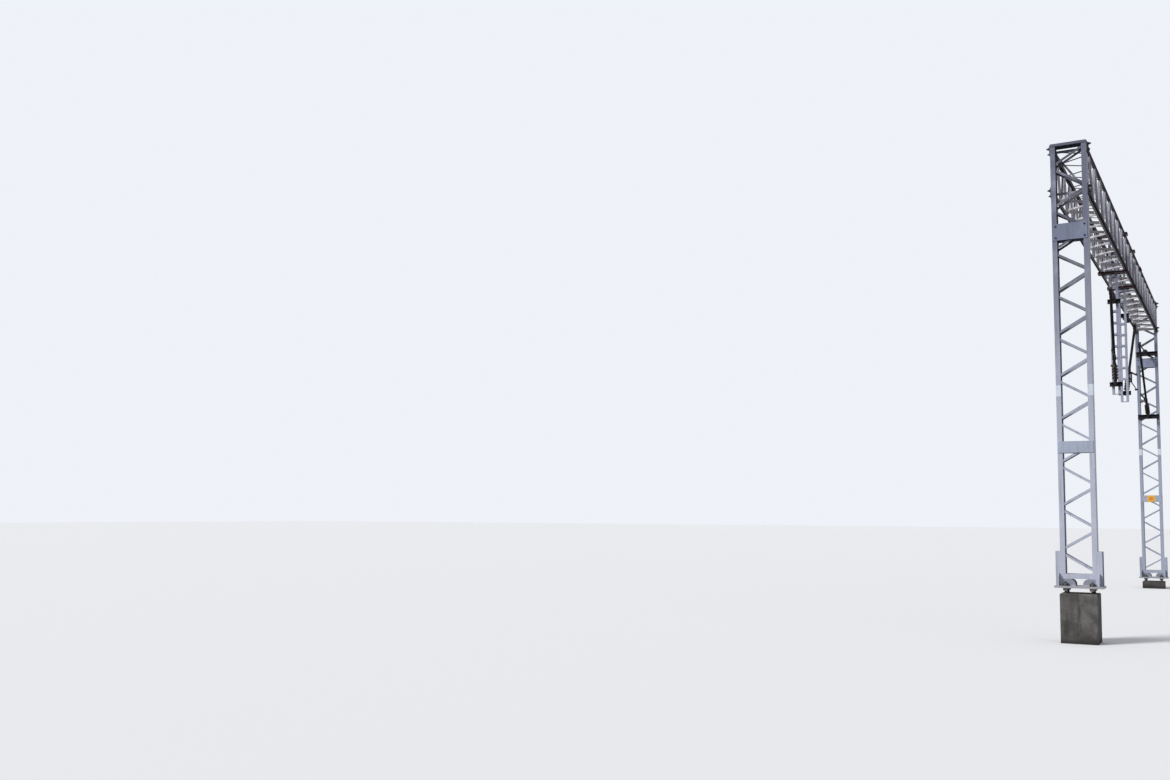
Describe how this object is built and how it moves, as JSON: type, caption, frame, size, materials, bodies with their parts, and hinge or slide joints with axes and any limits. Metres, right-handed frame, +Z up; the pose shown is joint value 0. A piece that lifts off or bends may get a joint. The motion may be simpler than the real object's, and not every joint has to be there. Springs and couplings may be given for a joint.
{
  "type": "railway catenary portal",
  "caption": "Steel portal that carries railway overhead wires: latticed masts on concrete piers, a latticed beam, drop posts and insulated swinging cantilevers.",
  "frame": {"origin": "middle of the underside of the near pier", "axes": "+X along the beam to the far mast, +Y along the track, +Z up"},
  "size_m": [17.98, 0.765, 8.645],
  "materials": {
    "painted_steel": "satin blue-grey paint over galvanised steel",
    "galvanised_steel": "weathered zinc",
    "bolt_steel": "dull, slightly rusty",
    "concrete": "rough, dark and weathered",
    "insulator_glaze": "glossy dark glaze",
    "tube_steel": "dark weathered tube",
    "clamp_bronze": "dull bronze",
    "warning_yellow": "bare yellow enamel"
  },
  "bodies": {
    "root": {"near_pier": "concrete", "near_anchor_bolts": "bolt_steel", "near_base": "painted_steel", "near_channels": "painted_steel", "near_front_lacing": "painted_steel", "near_back_lacing": "painted_steel", "near_battens": "painted_steel", "far_pier": "concrete", "far_anchor_bolts": "bolt_steel", "far_base": "painted_steel", "far_channels": "painted_steel", "far_front_lacing": "painted_steel", "far_back_lacing": "painted_steel", "far_battens": "painted_steel", "mast_caps": "painted_steel", "far_warning_plate": "warning_yellow", "far_brackets": "galvanised_steel", "beam_left_chords": "painted_steel", "beam_left_lattice": "painted_steel", "beam_right_chords": "painted_steel", "beam_right_lattice": "painted_steel", "beam_top_lattice": "painted_steel", "beam_bottom_lattice": "painted_steel", "beam_end_frames": "painted_steel", "beam_splices": "painted_steel", "beam_fishplates": "painted_steel", "drop_post_1": "painted_steel", "drop_post_2": "painted_steel", "post_head_bars": "painted_steel", "post_brackets": "galvanised_steel"},
    "cantilever_1": {"strut_1": "tube_steel", "insulators_1": "insulator_glaze", "tie_1": "tube_steel", "steady_arm_1": "tube_steel", "wire_clamps_1": "clamp_bronze"},
    "cantilever_2": {"strut_2": "tube_steel", "insulators_2": "insulator_glaze", "tie_2": "tube_steel", "steady_arm_2": "tube_steel", "wire_clamps_2": "clamp_bronze"},
    "cantilever_3": {"strut_3": "tube_steel", "insulators_3": "insulator_glaze", "tie_3": "tube_steel", "steady_arm_3": "tube_steel", "wire_clamps_3": "clamp_bronze"}
  },
  "joints": [
    {"name": "cantilever_1_swing", "type": "hinge", "parent": "root", "child": "cantilever_1", "pos_m": [7.2865, 0, 5.15], "axis": [0, 0, 1], "range_deg": [-60, 60]},
    {"name": "cantilever_2_swing", "type": "hinge", "parent": "root", "child": "cantilever_2", "pos_m": [9.684, 0, 5.15], "axis": [0, 0, 1], "range_deg": [-60, 60]},
    {"name": "cantilever_3_swing", "type": "hinge", "parent": "root", "child": "cantilever_3", "pos_m": [17.155, 0, 5.15], "axis": [0, 0, 1], "range_deg": [-60, 60]}
  ]
}
